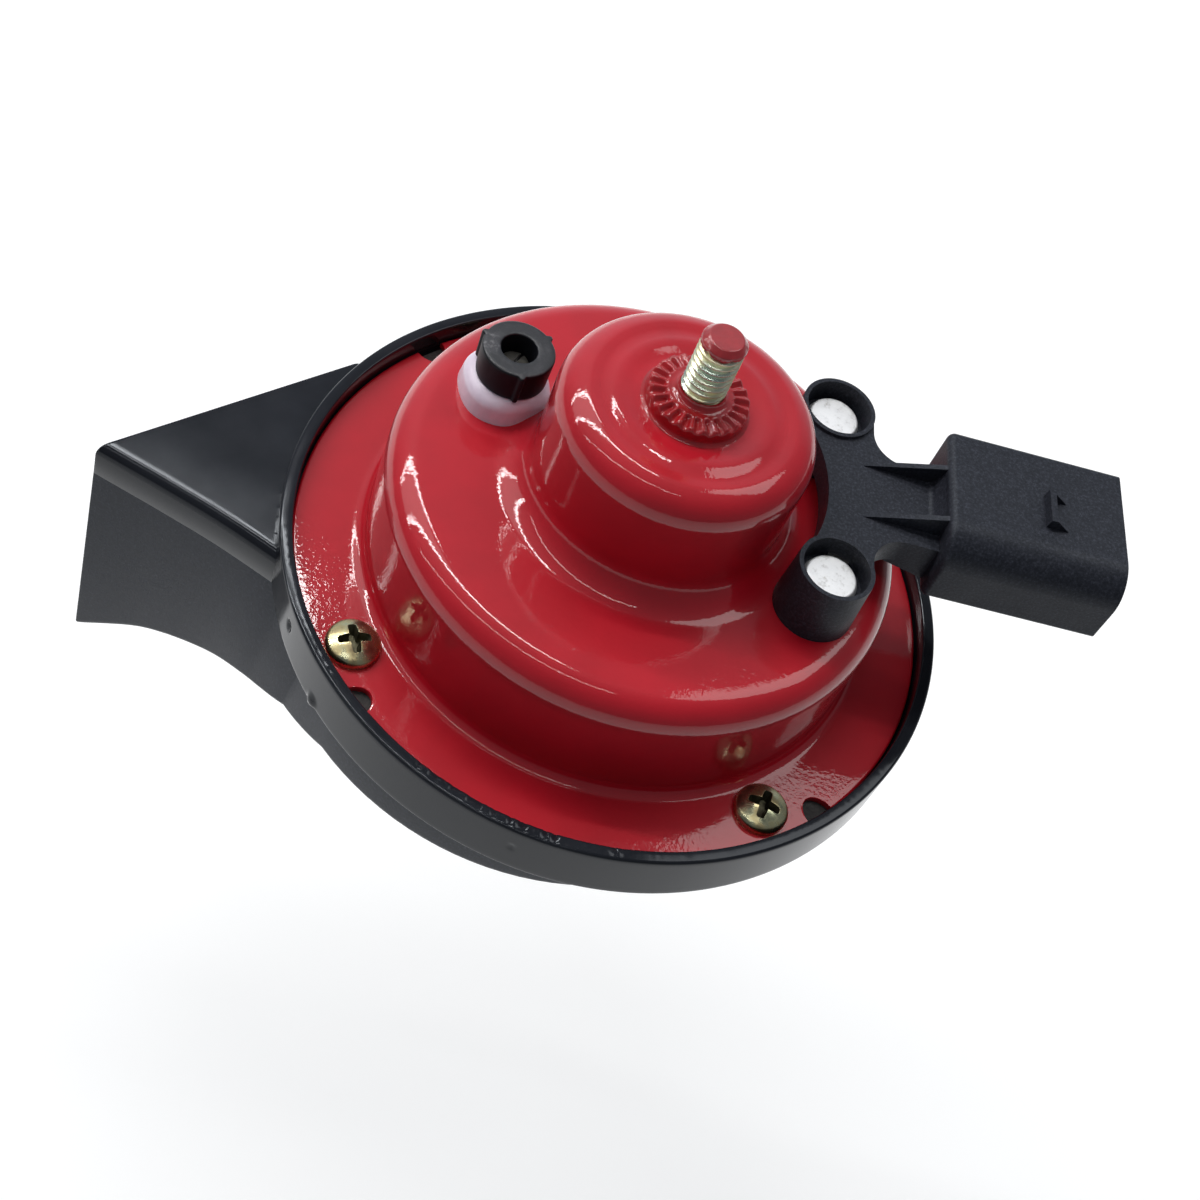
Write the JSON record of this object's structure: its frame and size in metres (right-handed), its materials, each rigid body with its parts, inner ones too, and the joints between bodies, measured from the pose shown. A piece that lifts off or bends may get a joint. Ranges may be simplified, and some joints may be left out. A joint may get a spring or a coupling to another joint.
{
  "type": "car horn",
  "caption": "Electric snail-trumpet car horn: stepped steel magnet housing, plastic spiral trumpet, fixing stud and plug connector.",
  "frame": {"origin": "on the fixing stud's axis, at the plane of the serrated collar's teeth that the bracket is clamped on", "axes": "+Z along the fixing stud, out of the horn; +X towards the open end of the plug connector; +Y completes a right-handed frame, and the trumpet's mouth looks between -X and +Y"},
  "size_m": [0.1359, 0.095, 0.0924],
  "materials": {
    "trumpet_rear_shell": "moulded glass-filled nylon, satin",
    "trumpet_front_shell": "moulded glass-filled nylon, satin",
    "steel_housing": "deep-drawn steel, glossy red enamel",
    "pole_stud": "yellow-passivated zinc, red enamel on the tip",
    "serrated_collar": "glossy red enamel over steel",
    "flange_screws": "yellow-passivated zinc",
    "housing_gasket": "dark fibre",
    "diaphragm": "spring steel",
    "trumpet_gasket": "dark fibre",
    "connector_housing": "moulded nylon, satin",
    "terminal_upper": "tinned brass",
    "terminal_lower": "tinned brass",
    "boss_seals": "soft rubber",
    "terminal_rivets": "bright aluminium, set heads",
    "rivet_bushes": "insulating nylon",
    "lead_tab_upper": "plain brass",
    "lead_tab_lower": "plain brass",
    "adjuster_cap": "moulded nylon",
    "adjuster_sealant": "cured lilac-grey locking compound",
    "adjusting_screw": "zinc-plated steel",
    "coil_bobbin": "moulded nylon",
    "coil_winding": "enamelled copper wire, wound",
    "magnet_yoke": "plain steel",
    "armature": "turned soft steel",
    "armature_washer_upper": "plain steel",
    "armature_washer_lower": "plain steel",
    "breaker_bracket": "plain steel",
    "breaker_insulator_upper": "laminated phenolic",
    "breaker_insulator_middle": "laminated phenolic",
    "breaker_insulator_lower": "laminated phenolic",
    "breaker_backing_plate": "plain steel",
    "breaker_leaf_spring": "phosphor bronze strip",
    "breaker_arm": "plain steel",
    "arm_rivets": "plain brass",
    "striker_shoe": "laminated phenolic",
    "fixed_contact_plate": "plain steel",
    "moving_contact": "tungsten",
    "fixed_contact": "tungsten",
    "breaker_rivets": "plain brass"
  },
  "bodies": {
    "horn": {"trumpet_rear_shell": "trumpet_rear_shell", "trumpet_front_shell": "trumpet_front_shell", "steel_housing": "steel_housing", "pole_stud": "pole_stud", "serrated_collar": "serrated_collar", "flange_screws": "flange_screws", "housing_gasket": "housing_gasket", "diaphragm": "diaphragm", "trumpet_gasket": "trumpet_gasket", "connector_housing": "connector_housing", "terminal_upper": "terminal_upper", "terminal_lower": "terminal_lower", "boss_seals": "boss_seals", "terminal_rivets": "terminal_rivets", "rivet_bushes": "rivet_bushes", "lead_tab_upper": "lead_tab_upper", "lead_tab_lower": "lead_tab_lower", "adjuster_cap": "adjuster_cap", "adjuster_sealant": "adjuster_sealant", "adjusting_screw": "adjusting_screw", "coil_bobbin": "coil_bobbin", "coil_winding": "coil_winding", "magnet_yoke": "magnet_yoke", "breaker_bracket": "breaker_bracket", "breaker_insulator_upper": "breaker_insulator_upper", "breaker_insulator_middle": "breaker_insulator_middle", "breaker_insulator_lower": "breaker_insulator_lower", "breaker_backing_plate": "breaker_backing_plate", "breaker_leaf_spring": "breaker_leaf_spring", "fixed_contact_plate": "fixed_contact_plate", "fixed_contact": "fixed_contact", "breaker_rivets": "breaker_rivets"},
    "armature": {"armature": "armature", "armature_washer_upper": "armature_washer_upper", "armature_washer_lower": "armature_washer_lower"},
    "breaker_arm": {"breaker_arm": "breaker_arm", "arm_rivets": "arm_rivets", "striker_shoe": "striker_shoe", "moving_contact": "moving_contact"}
  },
  "joints": [
    {"name": "armature_slide", "type": "slide", "parent": "horn", "child": "armature", "axis": [0, 0, 1], "range_m": [0, 0.0006], "stiffness_N_per_m": 150000, "deforming": ["diaphragm"]},
    {"name": "breaker_hinge", "type": "hinge", "parent": "horn", "child": "breaker_arm", "pos_m": [-0.02536, -0.00063, -0.03105], "axis": [0.8926, -0.4509, 0], "range_deg": [0, 2.87], "stiffness_Nm_per_rad": 0.7, "springref_deg": -2.86, "deforming": ["breaker_leaf_spring"]}
  ],
  "couplings": [
    {"joint": "breaker_hinge", "follows": "armature_slide", "rad_per_m": 83.333}
  ]
}
